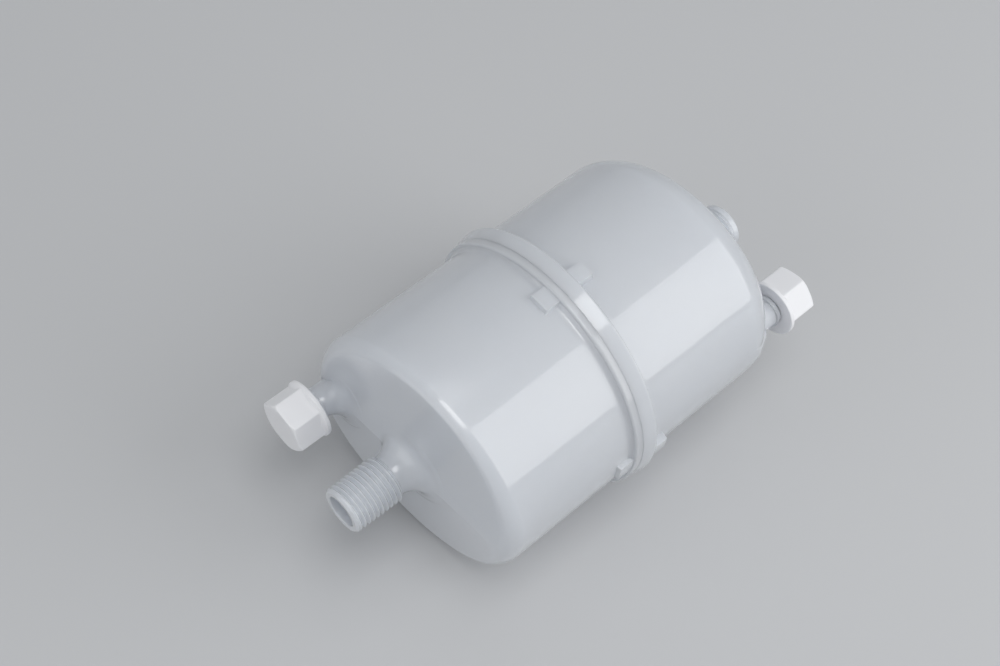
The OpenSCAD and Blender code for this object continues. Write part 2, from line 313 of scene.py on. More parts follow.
@dataclass
class HousingShell:
    """One moulded shell of the housing, with its collar, end, threaded port and vent, in millimetres."""

    node: str
    side: Side
    length: float
    shoulder: float
    ring_r: float
    weld_r: float
    ring_w: float
    tab_r: float
    tab_len: float
    neck_len: float
    lead: float

    # Weld tongue of the inlet shell, and the gap that the outlet shell leaves round it
    tongue_t: float = 1.6
    tongue_len: float = 3.0
    tongue_back: float = 2.4
    tongue_round: float = 0.3
    weld_gap: float = 0.05

    # Collar ring: its rounded edges, rows that hold its flat, and the fillet at its foot
    weld_round: float = 0.04
    ring_round: float = 0.6
    ring_hold: tuple[float, float] = (0.2, 0.75)
    fillet_h: float = 0.9
    fillet_run: float = 1.3

    # Tabs on the collar, with softened sides and tips, and the plain wall after them
    tab_w: float = 5.0
    tab_sides: tuple[float, float] = (0.2, 0.15)
    tab_tip: tuple[float, float] = (0.4, 0.05)
    tab_margin: float = 0.5

    # Rolled edge of the end
    trim: float = 0.3
    edge_blend: float = 0.7

    # Port: the neck on its flare, the pipe thread, the rim and the bore
    flare_span: tuple[float, float] = (math.radians(5), math.radians(81))
    neck_r: float = 5.7
    neck_gap: float = 0.2
    neck_lip: float = 0.1
    thread_r: float = 6.85
    thread_tip_r: float = 6.62
    thread_len: float = 15.0
    thread_pitch: float = 1.411
    thread_depth: float = 0.8
    root_share: float = 0.14
    flank_share: float = 0.72
    flank_round: float = 0.45
    run_out: float = 0.7
    chamfer: float = 0.9
    rim_h: float = 0.3
    rim_bevel: float = 0.15
    rim_round: float = 0.12
    bore_r: float = 4.5
    bore_round: float = 0.3
    bore_start: float = 2.0

    # Inside: rings of the flat end, and the outlet shell's socket for the cartridge's spigot
    floor_mid_r: float = 8.0
    floor_r: float = 16.0
    socket_r: float = 8.05
    socket_wall_r: float = 10.45
    socket_mouth: float = 40.8
    socket_floor: float = 47.1

    # Vent: the root in the end, the neck, the seat for the cap and the nipple
    vent_bore_r: float = 1.6
    vent_bore_past: tuple[float, float] = (4.0, 2.0)
    vent_root_r: float = 6.25
    vent_root_h: float = 1.4
    vent_flare_r: float = 4.3
    vent_neck_r: float = 4.26
    vent_neck_round: float = 0.1
    seat_r: float = 4.8
    seat_h: float = 1.3
    seat_round: float = 0.25
    nipple_r: float = 3.8
    nipple_len: float = 6.8
    nipple_chamfer: float = 0.6
    pole_r: float = 1.0

    # Where the rings have points, in degrees and millimetres along the tabs' arc
    AROUND = 192
    TAB_TURNS = (0, 90, 180, 270)
    TAB_STEPS = (-0.6, -0.2, -0.1, 0.0, 0.08, 0.15, 0.5)
    VENT_TURNS = (243, 297, 73)
    LEAST_TURN = 0.05

    # Where the profile has rings
    FILLET_ROWS = (0, 0.15, 0.35, 0.6, 0.9, 1.3)
    TAB_TIP_ROWS = (-0.5, 0.1, 7)
    WALL_SHARES = (0.08, 0.3, 0.6, 0.85, 0.96)
    CAVITY_SHARES = (0.3, 0.8, 1.0)
    SHOULDER_ROWS = 41
    END_ROWS = 44
    FLARE_ROWS = 20
    THREAD_ROWS = 136
    CAVITY_CORNER_ROWS = 13
    VENT_AROUND = 72
    VENT_ROWS = 14
    VENT_BORE_AROUND = 32

    def __post_init__(self) -> None:
        """Sets the angles of the rings' points: closer at the tabs and round the vent."""
        angles = set(np.round(np.linspace(0, 360, self.AROUND, endpoint=False), 4))
        half = self.tab_w / 2
        for centre in self.TAB_TURNS:
            for step in self.TAB_STEPS:
                turn = math.degrees((half + step) / TAB_ARC_R)
                angles |= {round((centre + turn) % 360, 4), round((centre - turn) % 360, 4)}
        angles |= set(np.round(np.linspace(*self.VENT_TURNS), 4))
        kept: list[float] = []
        for angle in sorted(angles):
            if not kept or angle - kept[-1] > self.LEAST_TURN:
                kept.append(angle)
        self.theta = np.radians(np.array(kept))
        self.cos, self.sin = np.cos(self.theta), np.sin(self.theta)

    def ring(self, radius: float | Array, height: float | Array) -> Array:
        """Ring of points about the axis.

        Args:
            radius: Radius, the same all round or one for each angle.
            height: Height, the same all round or one for each angle.

        Returns:
            The points.
        """
        return np.stack([radius * self.cos, radius * self.sin, height + 0 * self.cos], axis=1)

    def rings(self, corners: list[Triple]) -> list[Array]:
        """Rings along a rounded profile; see rounded_path."""
        return [self.ring(r, z) for r, z in rounded_path(corners)]

    def tilted(self, flat: Array, corner: float, length: float) -> Array:
        """Turns points of the sloping end's own frame into the shell's frame.

        Args:
            flat: Points about the end's own axis.
            corner: Corner radius of the end.
            length: Length of the shell to the end.

        Returns:
            The points in the shell's frame.
        """
        x, y, z = flat[:, 0], flat[:, 1], flat[:, 2]
        cos, sin = math.cos(END_SLOPE), math.sin(END_SLOPE)
        return np.stack([x, y * cos + z * sin, length - corner - y * sin + z * cos], axis=1)

    def roof(self, x: Array) -> Array:
        """Height of the end's two planes, which fall to both sides of a ridge."""
        return self.shoulder - np.abs(x) * RIDGE_FALL

    def vent_base(self) -> float:
        """Height at which the vent's foot starts, sunk into the sloping end."""
        return self.length + VENT_OFFSET * math.tan(END_SLOPE) - SINK

    def vent_flare(self, x: Array, y: Array, least: float) -> Array:
        """Height of the trumpet-shaped foot of the vent, which runs out towards the shell's edge.

        Args:
            x: Places across the shell.
            y: Places along the ridge.
            least: Distance from the vent's axis inside which the height stays the same.

        Returns:
            The heights, well below the end where there is no foot.
        """
        far = np.hypot(x, y + VENT_OFFSET)
        inward = smooth_step(*FLARE_TURN, (y + VENT_OFFSET) / np.maximum(far, LEAST_FAR))
        radius = FLARE_EDGE_R + (FLARE_R - FLARE_EDGE_R) * inward
        reach = VENT_NECK_R + radius
        run = np.clip(reach - np.maximum(far, least), 0, radius)
        past = np.clip(far - reach, 0, None)
        return self.vent_base() + radius - np.sqrt(radius**2 - run**2) - FLARE_DROP * past

    def end_height(self, x: Array, y: Array) -> Array:
        """Height of the shell's end, with the vent's foot on it.

        Args:
            x: Places across the shell.
            y: Places along the ridge.

        Returns:
            The heights.
        """
        slope = self.length - self.shoulder - y * math.tan(END_SLOPE)
        plane = slope + self.roof(x) / math.cos(END_SLOPE)
        return soft_max(plane, self.vent_flare(x, y, VENT_HOLD_R), VENT_BLEND)

    def weld_corners(self) -> list[Triple]:
        """Corners of the weld face: the inlet shell's tongue, or the outlet shell's recess for it.

        Returns:
            Radius, height and rounding of each corner, from the inside out.
        """
        tongue_r = INNER_R + self.tongue_t
        if self.side is Side.OUTLET:
            recess_r = tongue_r + self.weld_gap
            return [(recess_r, self.tongue_len + self.weld_gap, 0), (recess_r, 0, 0)]
        return [
            (INNER_R, -self.tongue_len, 0),
            (tongue_r, -self.tongue_len, self.tongue_round),
            (tongue_r, 0, 0),
        ]

    def collar_rows(self) -> list[Array]:
        """Rings of the weld face, the collar ring and its tabs.

        Returns:
            The rings, from the weld face out and along to the end of the tabs.
        """
        taper = (self.ring_r - self.weld_r) / self.ring_w
        near, far = self.ring_hold[0], self.ring_w - self.ring_hold[1]
        ring = [
            (self.weld_r, 0, self.weld_round),
            (self.weld_r + taper * near, near, 0),
            (self.weld_r + taper * far, far, 0),
            (self.ring_r, self.ring_w, self.ring_round),
            (BODY_R, self.ring_w, 0),
        ]
        rows = self.rings(self.weld_corners() + ring)[:-1]
        arc = np.abs((self.theta + math.pi / 4) % (math.pi / 2) - math.pi / 4) * TAB_ARC_R
        half = self.tab_w / 2
        across = 1 - smooth_step(half - self.tab_sides[0], half + self.tab_sides[1], arc)
        end, tip = self.ring_w + self.tab_len, self.tab_len
        first, last, count = self.TAB_TIP_ROWS
        tip_rows = np.linspace(tip + first, tip + last, count)
        for height in (*self.FILLET_ROWS, tip / 2, *tip_rows, tip + self.tab_margin):
            z = self.ring_w + height
            along = 1 - smooth_step(end - self.tab_tip[0], end + self.tab_tip[1], np.array(z))
            fillet = self.fillet_h * (1 - min(height / self.fillet_run, 1.0)) ** 2
            lift = np.maximum((self.tab_r - BODY_R) * across * along, fillet)
            rows.append(self.ring(BODY_R + lift, z))
        return rows

    def shoulder_rows(self) -> list[Array]:
        """Rings of the rolled shoulder, with the vent's foot on it.

        Returns:
            The rings, from the wall to the sloping end.
        """
        corner = self.shoulder
        middle = corner_centre(BODY_R, corner)
        rows = []
        for turn in np.radians(np.linspace(0, 90, self.SHOULDER_ROWS)):
            flat = self.ring(middle + corner * math.cos(turn), self.trim + corner * math.sin(turn))
            flat[:, 2] = soft_min(flat[:, 2], self.roof(flat[:, 0]), self.edge_blend)
            points = drawn_to(self.tilted(flat, corner, self.length), BODY_R)
            flare = self.vent_flare(points[:, 0], points[:, 1], VENT_HOLD_R)
            points[:, 2] = soft_max(points[:, 2], flare, VENT_BLEND)
            rows.append(points)
        return rows

    def end_rows(self) -> list[Array]:
        """Rings of the wall, the rolled shoulder and the sloping end.

        Returns:
            The rings, from the collar to the foot of the port.
        """
        shoulder = self.shoulder_rows()
        first = drawn_to(shoulder[0], BODY_R, both_ways=True)
        foot = self.ring_w + self.tab_len + self.tab_margin
        rows = []
        for share in self.WALL_SHARES:
            points = first.copy()
            points[:, 2] = foot + (first[:, 2] - foot) * share
            rows.append(points)
        rows += shoulder
        inner = self.ring(PORT_FOOT_R, 0.0)
        for share in np.linspace(0, 1, self.END_ROWS)[1:]:
            points = shoulder[-1] * (1 - share) + inner * share
            points[:, 2] = self.end_height(points[:, 0], points[:, 1])
            rows.append(points)
        return rows

    def thread_radius(self, height: float, start: float, foot: float) -> Array:
        """Radius of the pipe thread, which tapers, runs out at its lead and is bevelled at both ends.

        Args:
            height: Height of the ring.
            start: Height at which the thread starts.
            foot: Radius of the neck under it.

        Returns:
            The radius at each angle.
        """
        tip = start + self.thread_len
        edge = self.thread_r - self.chamfer
        along = (height - start) / self.thread_len
        crest = self.thread_r + (self.thread_tip_r - self.thread_r) * along
        phase = (height / self.thread_pitch - self.theta / (2 * math.pi)) % 1.0
        flank = np.clip((np.abs(2 * phase - 1) - self.root_share) / self.flank_share, 0, 1)
        flank = (1 - self.flank_round) * flank + self.flank_round * smooth_step(0, 1, flank)
        depth = self.thread_depth * smooth_step(0, self.run_out, np.array(tip - self.lead - height))
        bevel = min(max(foot, edge) + height - start, edge + tip - height)
        return np.minimum(crest - depth * (1 - flank), bevel)

    def port_rows(self) -> list[Array]:
        """Rings of the port: flared foot, neck, thread, rim and bore.

        Returns:
            The rings, from the foot along the outside and back into the bore.
        """
        rows = []
        centre = self.neck_r + FLARE_R
        top = math.acos(1 - (self.neck_len + SINK - self.neck_gap) / FLARE_R)
        last = min(self.flare_span[1], top)
        for turn in np.linspace(self.flare_span[0], last, self.FLARE_ROWS):
            points = self.ring(centre - FLARE_R * math.sin(turn), 0.0)
            flare = self.length - SINK + FLARE_R * (1 - math.cos(turn))
            end = self.end_height(points[:, 0], points[:, 1])
            points[:, 2] = soft_max(end, flare + 0 * self.cos, PORT_BLEND)
            rows.append(points)
        start = self.length + self.neck_len
        tip = start + self.thread_len
        foot = centre - FLARE_R * math.sin(last)
        rows.append(self.ring(foot, start - self.neck_lip))
        for height in np.linspace(start, tip - self.rim_h, self.THREAD_ROWS):
            rows.append(self.ring(self.thread_radius(height, start, foot), height))
        edge = self.thread_r - self.chamfer
        rim = [
            (edge + self.rim_bevel, tip - self.rim_bevel, 0),
            (edge, tip, self.rim_round),
            (self.bore_r, tip, self.bore_round),
            (self.bore_r, tip - self.bore_start, 0),
        ]
        return rows + self.rings(rim)[1:]

    def cavity_floor(self, radius: float) -> Array:
        """Ring on the flat inside of the sloping end.

        Args:
            radius: Radius of the ring.

        Returns:
            The points.
        """
        corner = self.shoulder - WALL
        lift = corner / math.cos(END_SLOPE) - corner
        fall = radius * self.sin * math.tan(END_SLOPE)
        return self.ring(radius, self.length - END_WALL + lift - fall)

    def cavity_rows(self) -> list[Array]:
        """Rings of the bore's inner end, the socket if there is one, and the inside of the shell.

        Returns:
            The rings, from the bore out and along to the weld face.
        """
        if self.side is Side.INLET:
            rows = [self.cavity_floor(r) for r in (self.bore_r, self.floor_mid_r, self.floor_r)]
            low = -self.tongue_back
        else:
            rows = [self.ring(r, self.socket_floor) for r in (self.bore_r, self.socket_r)]
            rows += [self.ring(r, self.socket_mouth) for r in (self.socket_r, self.socket_wall_r)]
            rows += [self.cavity_floor(r) for r in (self.socket_wall_r, self.floor_r)]
            low = self.tongue_len + self.weld_gap
        corner = self.shoulder - WALL
        middle = corner_centre(INNER_R, corner)
        for turn in np.radians(np.linspace(90, 0, self.CAVITY_CORNER_ROWS)):
            flat = self.ring(middle + corner * math.cos(turn), corner * math.sin(turn))
            rows.append(drawn_to(self.tilted(flat, corner, self.length - END_WALL), INNER_R))
        top = drawn_to(rows[-1], INNER_R, both_ways=True)
        for share in self.CAVITY_SHARES:
            points = top.copy()
            points[:, 2] += (low - top[:, 2]) * share
            rows.append(points)
        return rows

    @staticmethod
    def vent_ring(turn: Array, radius: float, height: float | Array) -> Array:
        """Ring of points about the vent's axis, held inside the shell's edge.

        Args:
            turn: Angles of the points.
            radius: Radius about the vent's axis.
            height: Height, the same all round or one for each angle.

        Returns:
            The points.
        """
        x, y = radius * np.cos(turn), radius * np.sin(turn) - VENT_OFFSET
        return drawn_to(np.stack([x, y, height + 0 * x], axis=1), VENT_EDGE_R)

    def vent_solid(self) -> bpy.types.Object:
        """Makes the vent with its flared neck, seat ring and nipple.

        Returns:
            The vent, as a solid of its own.
        """
        turn = np.linspace(0, 2 * math.pi, self.VENT_AROUND, endpoint=False)
        seat = self.length + VENT_STAND
        root = self.vent_base() - self.vent_root_h
        rows = [self.vent_ring(turn, radius, root) for radius in (self.pole_r, self.vent_root_r)]
        for radius in np.linspace(self.vent_root_r, self.vent_flare_r, self.VENT_ROWS):
            flare = self.vent_flare(radius * np.cos(turn), radius * np.sin(turn) - VENT_OFFSET, 0.0)
            rows.append(self.vent_ring(turn, radius, flare))
        profile = rounded_path(
            [
                (self.vent_neck_r, -self.seat_h - self.vent_neck_round / 2, 0),
                (self.vent_neck_r, -self.seat_h, self.vent_neck_round),
                (self.seat_r, -self.seat_h, self.seat_round),
                (self.seat_r, 0, self.seat_round),
                (self.nipple_r, 0, 0),
                (self.nipple_r, self.nipple_len - self.nipple_chamfer, 0),
                (self.nipple_r - self.nipple_chamfer, self.nipple_len, 0),
                (self.pole_r, self.nipple_len, 0),
            ]
        )
        rows += [self.vent_ring(turn, radius, seat + height) for radius, height in profile]
        return self.tool("vent_tool", rows)

    def vent_bore(self) -> bpy.types.Object:
        """Makes the bore through the vent.

        Returns:
            The bore, as a solid of its own.
        """
        turn = np.linspace(0, 2 * math.pi, self.VENT_BORE_AROUND, endpoint=False)
        low = self.length - END_WALL - self.vent_bore_past[0]
        high = self.length + VENT_STAND + self.nipple_len + self.vent_bore_past[1]
        return self.tool("bore_tool", [self.vent_ring(turn, self.vent_bore_r, z) for z in (low, high)])

    def tool(self, name: str, rows: list[Array]) -> bpy.types.Object:
        """Solid of rings in the shell's own frame, closed at both ends.

        Args:
            name: Name of the solid.
            rows: Its rings.

        Returns:
            The solid, in the part's frame.
        """
        return add_piece(name, turned_mesh(name, [self.side.place(row) for row in rows], False))

    def crease_ridge(self, piece: bpy.types.Object) -> None:
        """Keeps the edges along the end's ridge crisp.

        Args:
            piece: The shell.
        """
        mesh = piece.data
        places = np.array([vertex.co for vertex in mesh.vertices])
        on_ridge = np.abs(places[:, 2] - AXIS_Z * MM) < RIDGE_TOLERANCE * MM
        on_ridge &= np.abs(places[:, 0] - WELD_X * MM) > (self.length - RIDGE_DEPTH) * MM
        on_ridge &= np.abs(places[:, 1]) > RIDGE_START * MM
        for edge in mesh.edges:
            if on_ridge[edge.vertices[0]] and on_ridge[edge.vertices[1]]:
                edge.use_edge_sharp = True

    def build(self, material: bpy.types.Material) -> bpy.types.Object:
        """Makes the shell and puts it in the place of its CAD node.

        Args:
            material: Finish of the shell.

        Returns:
            The finished piece.
        """
        rows = self.collar_rows() + self.end_rows() + self.port_rows() + self.cavity_rows()
        mesh = turned_mesh(self.node + "_moulding", [self.side.place(row) for row in rows], True)
        piece = add_piece(self.node + "_moulding", mesh)
        combine(piece, self.vent_solid(), Join.ADD)
        combine(piece, self.vent_bore(), Join.CUT)
        merge_slivers(piece)
        smooth_shade(piece)
        self.crease_ridge(piece)
        piece.data.materials.clear()
        piece.data.materials.append(material)
        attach(piece, "housing")
        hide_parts(self.node)
        return piece


@dataclass
class VentCap:
    """Hexagonal screw cap of a vent, with a round flange and a chamfered end, in millimetres."""

    node: str
    body: str
    side: Side
    shell_length: float
    turn_deg: float

    # Hexagon with its softened corners and chamfered end
    flats: float = 14.0
    height: float = 9.7
    corner_power: float = 60.0
    cone: float = math.radians(30)
    cone_edge: float = 0.15
    blend: float = 0.25
    top_round: tuple[float, float] = (0.05, 0.03)
    top_edge: float = 0.2

    # Flange, which stands a little over the vent's seat
    lift: float = 0.25
    flange_r: float = 8.3
    flange_h: float = 1.1
    flange_round: float = 0.22
    flange_sink: float = 0.4
    underside_r: float = 6.2

    # Bore over the nipple
    bore_r: float = 4.05
    bore_len: float = 7.55
    bore_round: float = 0.1
    bore_lead: float = 0.3

    # Where the rings have points, in degrees, and where the profile has rings
    AROUND = 72
    CORNER_STEPS = (-3.5, -2.2, -1.1, 0, 1.1, 2.2, 3.5)
    BORE_TOP_ROWS = (1.0, 2.5)
    BORE_ROWS = (4.0, 0.4)
    FLANGE_EDGE_ROWS = 5
    FLANGE_ROWS = (0.5, 0.8, 0.95, *np.linspace(1.05, 2.6, 14))
    SIDE_ROWS = (3.4, 5.0, 6.6)
    CONE_ROWS = (7.6, 0.1, 18)
    TOP_SHARES = (0.8, 0.4)

    def __post_init__(self) -> None:
        """Sets the angles of the rings' points: closer at the corners of the hexagon."""
        angles = set(np.round(np.linspace(0, 360, self.AROUND, endpoint=False), 3))
        for corner in range(0, 360, 60):
            angles |= {round((corner + step) % 360, 3) for step in self.CORNER_STEPS}
        self.theta = np.radians(np.array(sorted(angles)) + self.turn_deg)

    def hexagon(self) -> Array:
        """Radius of the hexagon with softened corners.

        Returns:
            The radius at each angle.
        """
        total = np.zeros_like(self.theta)
        for face in range(30, 360, 60):
            normal = math.radians(self.turn_deg + face)
            total += np.clip(np.cos(self.theta - normal), 0, None) ** self.corner_power
        return self.flats / 2 / total ** (1 / self.corner_power)

    def side_radius(self, height: float) -> Array:
        """Radius of the cap's outside at a height.

        Args:
            height: Height over the underside of the flange.

        Returns:
            The radius at each angle.
        """
        cone = self.flats / 2 + self.cone_edge + (self.height - height) / math.tan(self.cone)
        body = soft_min(self.hexagon(), cone + 0 * self.theta, self.blend)
        if height > 3 * self.flange_h:
            return body
        over = max(0.0, height - self.flange_h)
        fall = (self.flange_r - self.flats / 2 + self.flange_sink) / self.flange_h
        return soft_max(body, self.flange_r - over * fall + 0 * self.theta, self.blend)

    def ring(self, radius: float | Array, height: float) -> Array:
        """Ring of points of the cap in the part's frame.

        Args:
            radius: Radius about the vent's axis.
            height: Height over the underside of the flange.

        Returns:
            The points, in metres.
        """
        x, y = radius * np.cos(self.theta), radius * np.sin(self.theta) - VENT_OFFSET
        z = self.shell_length + VENT_STAND + self.lift + height
        return self.side.place(np.stack([x, y, z + 0 * self.theta], axis=1))

    def rows(self) -> list[Array]:
        """Rings of the cap.

        Returns:
            The rings, from the top of the bore down, round the flange and up the outside.
        """
        bore_edge = self.bore_r - self.bore_round
        rows = [self.ring(r, self.bore_len) for r in (*self.BORE_TOP_ROWS, bore_edge)]
        rows += [self.ring(self.bore_r, z) for z in (self.bore_len - self.bore_round, *self.BORE_ROWS)]
        rows += [self.ring(r, 0.0) for r in (self.bore_r + self.bore_lead, self.underside_r)]
        edge = self.flange_round
        for turn in np.radians(np.linspace(0, 90, self.FLANGE_EDGE_ROWS)):
            radius = self.flange_r - edge + edge * math.sin(turn)
            rows.append(self.ring(radius, edge * (1 - math.cos(turn))))
        first, short, count = self.CONE_ROWS
        cone_rows = np.linspace(first, self.height - short, count)
        for height in (*self.FLANGE_ROWS, *self.SIDE_ROWS, *cone_rows):
            rows.append(self.ring(self.side_radius(height), height))
        top = self.side_radius(self.height)
        rows.append(self.ring(top - self.top_round[0], self.height - self.top_round[1]))
        rows.append(self.ring(top - self.top_edge, self.height))
        return rows + [self.ring(top * share, self.height) for share in self.TOP_SHARES]

    def build(self, material: bpy.types.Material) -> bpy.types.Object:
        """Makes the cap and puts it in the place of its CAD node.

        Args:
            material: Finish of the cap.

        Returns:
            The finished piece.
        """
        mesh = turned_mesh(self.node + "_moulding", self.rows(), False)
        piece = add_piece(self.node + "_moulding", mesh)
        smooth_shade(piece)
        piece.data.materials.append(material)
        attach(piece, self.body)
        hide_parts(self.node)
        return piece


class NodeGroups:
    """Shader node groups that the finishes share."""

    COLOR = "NodeSocketColor"
    NUMBER = "NodeSocketFloat"
    CLOUD_DETAIL = 3.0
    GRAIN_DETAIL = 4.0
    FIBRE_DETAIL = 5.0
    FIBRE_STRETCH = (0.25, 1.0, 1.0)

    def __init__(self) -> None:
        """Builds the groups once."""
        self.moulded = self.build_moulded()
        self.fibres = self.build_fibres()

    @staticmethod
    def new_group(name: str, inputs: dict[str, str], outputs: dict[str, str]) -> bpy.types.NodeTree:
        """Starts a group with its sockets and end nodes.

        Args:
            name: Name of the group.
            inputs: Socket type of each input, by name.
            outputs: Socket type of each output, by name.

        Returns:
            The group.
        """
        group = bpy.data.node_groups.new(name, "ShaderNodeTree")
        for label, kind in inputs.items():
            group.interface.new_socket(name=label, in_out="INPUT", socket_type=kind)
        for label, kind in outputs.items():
            group.interface.new_socket(name=label, in_out="OUTPUT", socket_type=kind)
        group.nodes.new("NodeGroupInput").name = "in"
        group.nodes.new("NodeGroupOutput").name = "out"
        return group

    @staticmethod
    def mix_tones(group: bpy.types.NodeTree, share: bpy.types.NodeSocket) -> None:
        """Mixes a group's two tones into the colour that it puts out.

        Args:
            group: The group.
            share: Share of the deep tone.
        """
        mix = group.nodes.new("ShaderNodeMix")
        mix.data_type = "RGBA"
        start, end = group.nodes["in"], group.nodes["out"]
        group.links.new(share, mix.inputs["Factor"])
        group.links.new(start.outputs["Pale"], mix.inputs["A"])
        group.links.new(start.outputs["Deep"], mix.inputs["B"])
        group.links.new(mix.outputs["Result"], end.inputs["Color"])

    def build_moulded(self) -> bpy.types.NodeTree:
        """Moulded plastic: slow clouds of colour, a fine grain and a varying roughness.

        Returns:
            The group, which puts out a colour, a roughness and a height.
        """
        numbers = ("Cloud Scale", "Grain Scale", "Rough Low", "Rough High")
        inputs = {"Pale": self.COLOR, "Deep": self.COLOR} | {label: self.NUMBER for label in numbers}
        outputs = {"Color": self.COLOR, "Roughness": self.NUMBER, "Height": self.NUMBER}
        group = self.new_group("moulded_plastic", inputs, outputs)
        nodes, links = group.nodes, group.links
        start, end = nodes["in"], nodes["out"]
        place = nodes.new("ShaderNodeTexCoord")
        cloud = nodes.new("ShaderNodeTexNoise")
        cloud.inputs["Detail"].default_value = self.CLOUD_DETAIL
        grain = nodes.new("ShaderNodeTexNoise")
        grain.inputs["Detail"].default_value = self.GRAIN_DETAIL
        rough = nodes.new("ShaderNodeMapRange")
        links.new(place.outputs["Object"], cloud.inputs["Vector"])
        links.new(place.outputs["Object"], grain.inputs["Vector"])
        links.new(start.outputs["Cloud Scale"], cloud.inputs["Scale"])
        links.new(start.outputs["Grain Scale"], grain.inputs["Scale"])
        links.new(grain.outputs["Fac"], rough.inputs["Value"])
        links.new(start.outputs["Rough Low"], rough.inputs["To Min"])
        links.new(start.outputs["Rough High"], rough.inputs["To Max"])
        links.new(rough.outputs["Result"], end.inputs["Roughness"])
        links.new(grain.outputs["Fac"], end.inputs["Height"])
        self.mix_tones(group, cloud.outputs["Fac"])
        return group

    def build_fibres(self) -> bpy.types.NodeTree:
        """Sheet of filter medium: long soft fibres in two tones.

        Returns:
            The group, which puts out a colour and a height.
        """
        inputs = {"Pale": self.COLOR, "Deep": self.COLOR, "Fibre Scale": self.NUMBER}
        outputs = {"Color": self.COLOR, "Height": self.NUMBER}
        group = self.new_group("fibre_sheet", inputs, outputs)
        nodes, links = group.nodes, group.links
        start, end = nodes["in"], nodes["out"]
        place = nodes.new("ShaderNodeTexCoord")
        stretch = nodes.new("ShaderNodeMapping")
        stretch.inputs["Scale"].default_value = self.FIBRE_STRETCH
        fibres = nodes.new("ShaderNodeTexNoise")
        fibres.inputs["Detail"].default_value = self.FIBRE_DETAIL
        links.new(place.outputs["Object"], stretch.inputs["Vector"])
        links.new(stretch.outputs["Vector"], fibres.inputs["Vector"])
        links.new(start.outputs["Fibre Scale"], fibres.inputs["Scale"])
        links.new(fibres.outputs["Fac"], end.inputs["Height"])
        self.mix_tones(group, fibres.outputs["Fac"])
        return group


class Surface:
    """New material whose colour, relief and perhaps roughness come from a node group."""

    RELIEF = 0.1 * MM

    def __init__(
        self, name: str, group: bpy.types.NodeTree, values: dict[str, object], bump: float
    ) -> None:
        """Makes the material.

        Args:
            name: Name of the material.
            group: The group that is placed in it.
            values: Value of each input of the group, by name.
            bump: Strength of the relief.
        """
        self.material = bpy.data.materials.new(name)
        self.material.use_nodes = True
        nodes, links = self.material.node_tree.nodes, self.material.node_tree.links
        self.shader = nodes["Principled BSDF"]
        skin = nodes.new("ShaderNodeGroup")
        skin.node_tree = group
        for label, value in values.items():
            skin.inputs[label].default_value = value
        relief = nodes.new("ShaderNodeBump")
        relief.inputs["Strength"].default_value = bump
        relief.inputs["Distance"].default_value = self.RELIEF
        links.new(skin.outputs["Color"], self.shader.inputs["Base Color"])
        links.new(skin.outputs["Height"], relief.inputs["Height"])
        links.new(relief.outputs["Normal"], self.shader.inputs["Normal"])
        if "Roughness" in skin.outputs:
            links.new(skin.outputs["Roughness"], self.shader.inputs["Roughness"])

    def set(self, label: str, value: object) -> None:
        """Sets one of the shader's own sockets."""
        self.shader.inputs[label].default_value = value


@dataclass(frozen=True)
class PlasticFinish:
    """Finish of a moulded plastic or rubber piece."""

    name: str
    pale: Triple
    deep: Triple
    roughness: tuple[float, float]
    cloud_scale: float = 60.0
    grain_scale: float = 900.0
    bump: float = 0.02
    transmission: float = 0.0
    subsurface: float = 0.0
    depth_mm: float = 3.0
    ior: float = 1.49
    coat: float = 0.0
    coat_roughness: float = 0.08

    def material(self, groups: NodeGroups) -> bpy.types.Material:
        """Makes the material.

        Args:
            groups: The shared node groups.

        Returns:
            The new material.
        """
        values = {
            "Pale": (*self.pale, 1),
            "Deep": (*self.deep, 1),
            "Cloud Scale": self.cloud_scale,
            "Grain Scale": self.grain_scale,
            "Rough Low": self.roughness[0],
            "Rough High": self.roughness[1],
        }
        surface = Surface(self.name, groups.moulded, values, self.bump)
        surface.set("IOR", self.ior)
        surface.set("Transmission Weight", self.transmission)
        surface.set("Subsurface Weight", self.subsurface)
        surface.set("Subsurface Radius", (1.0, 1.0, 1.0))
        surface.set("Subsurface Scale", self.depth_mm * MM)
        surface.set("Coat Weight", self.coat)
        surface.set("Coat Roughness", self.coat_roughness)
        return surface.material


@dataclass(frozen=True)
class SheetFinish:
    """Finish of a sheet of filter medium."""

    name: str
    pale: Triple
    deep: Triple
    fibre_scale: float
    roughness: float = 0.85
    bump: float = 0.25

    def material(self, groups: NodeGroups) -> bpy.types.Material:
        """Makes the material.

        Args:
            groups: The shared node groups.

        Returns:
            The new material.
        """
        values = {"Pale": (*self.pale, 1), "Deep": (*self.deep, 1), "Fibre Scale": self.fibre_scale}
        surface = Surface(self.name, groups.fibres, values, self.bump)
        surface.set("Roughness", self.roughness)
        return surface.material


